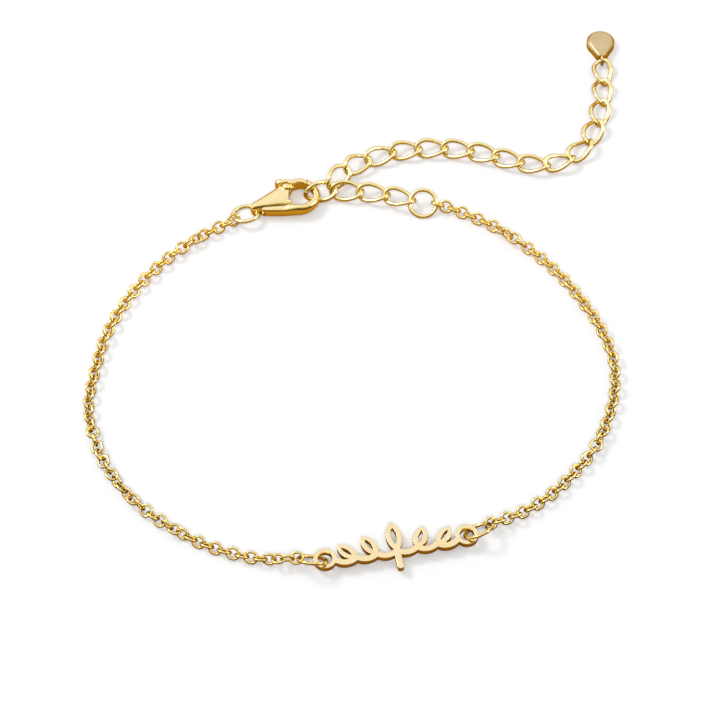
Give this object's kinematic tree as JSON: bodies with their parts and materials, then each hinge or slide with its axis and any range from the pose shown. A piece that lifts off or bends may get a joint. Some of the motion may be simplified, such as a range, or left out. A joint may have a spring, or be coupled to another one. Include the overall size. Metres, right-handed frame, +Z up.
{
  "type": "nameplate bracelet",
  "caption": "Fine gold cable chain bracelet lying in a loop, with a pierced nameplate, lobster clasp, curb extension chain and teardrop end drop.",
  "frame": {"origin": "on the surface it lies on, under the middle of its bounding box", "axes": "+Z up from the surface, +X to the right along the front chain, +Y towards the clasp and the extension"},
  "size_m": [0.058, 0.0716, 0.0023],
  "materials": {
    "polished_gold": "polished gold plating",
    "plate_gold": "smooth satin gold plating"
  },
  "bodies": {
    "bracelet": {"nameplate": "plate_gold", "plate_ring_left": "polished_gold", "plate_ring_right": "polished_gold", "chain_left": "polished_gold", "chain_right": "polished_gold", "clasp_ring": "polished_gold", "clasp_body": "polished_gold", "end_ring": "polished_gold", "drop": "polished_gold", "extension_link_01": "polished_gold", "extension_link_02": "polished_gold", "extension_link_03": "polished_gold", "extension_link_04": "polished_gold", "extension_link_05": "polished_gold", "extension_link_06": "polished_gold", "extension_link_07": "polished_gold", "extension_link_08": "polished_gold", "extension_link_09": "polished_gold", "extension_link_10": "polished_gold", "extension_link_11": "polished_gold", "extension_link_12": "polished_gold", "extension_link_13": "polished_gold", "extension_link_14": "polished_gold", "extension_link_15": "polished_gold", "extension_link_16": "polished_gold", "extension_link_17": "polished_gold", "extension_link_18": "polished_gold", "extension_link_19": "polished_gold"},
    "lever": {"clasp_lever": "polished_gold"}
  },
  "joints": [
    {"name": "clasp_lever_hinge", "type": "hinge", "parent": "bracelet", "child": "lever", "pos_m": [-0.0079, 0.01299, 0.00095], "axis": [0, 0, 1], "range_deg": [-12, 0], "stiffness_Nm_per_rad": 0.004, "springref_deg": 5.73}
  ]
}
